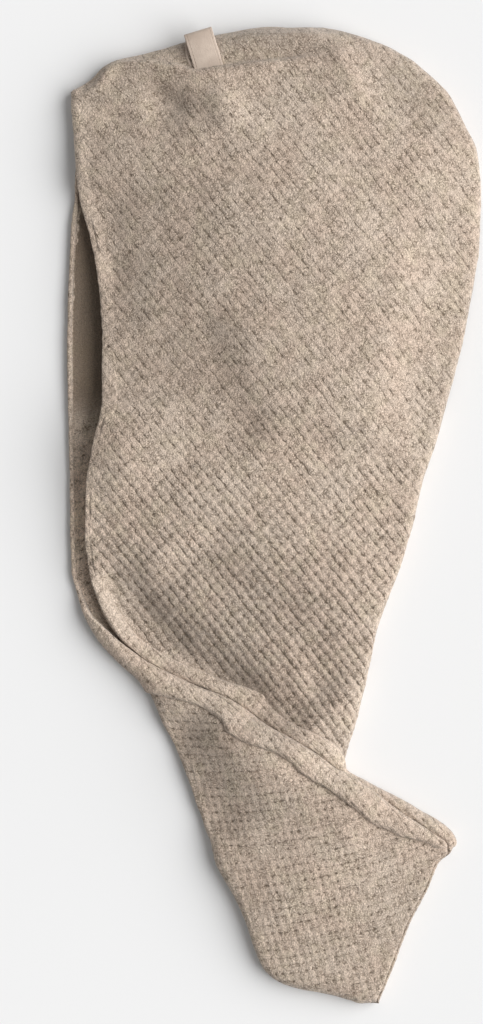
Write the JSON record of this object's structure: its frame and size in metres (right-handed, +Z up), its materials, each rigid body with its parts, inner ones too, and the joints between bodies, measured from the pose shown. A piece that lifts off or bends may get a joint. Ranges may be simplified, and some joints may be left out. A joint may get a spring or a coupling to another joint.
{
  "type": "hair turban towel",
  "caption": "Plush waffle hair turban laid flat: a puffed head pocket with a hemmed opening, a half-twisted tail and a small leather hanging loop.",
  "frame": {"origin": "centre of the towel's bounding box, on the surface it lies on", "axes": "+X across to the seamed edge, +Y from the tail to the crown, +Z up from the surface it lies on"},
  "size_m": [0.2571, 0.6127, 0.0341],
  "materials": {
    "towelling": "thick plush waffle towelling, taupe",
    "hem_towelling": "turned hem of the same towelling",
    "loop_leather": "smooth beige leather with stitched edges"
  },
  "bodies": {
    "root": {"upper_panel": "towelling", "lower_panel": "towelling", "upper_hem": "hem_towelling", "lower_hem": "hem_towelling", "hanging_loop": "loop_leather"}
  },
  "joints": []
}
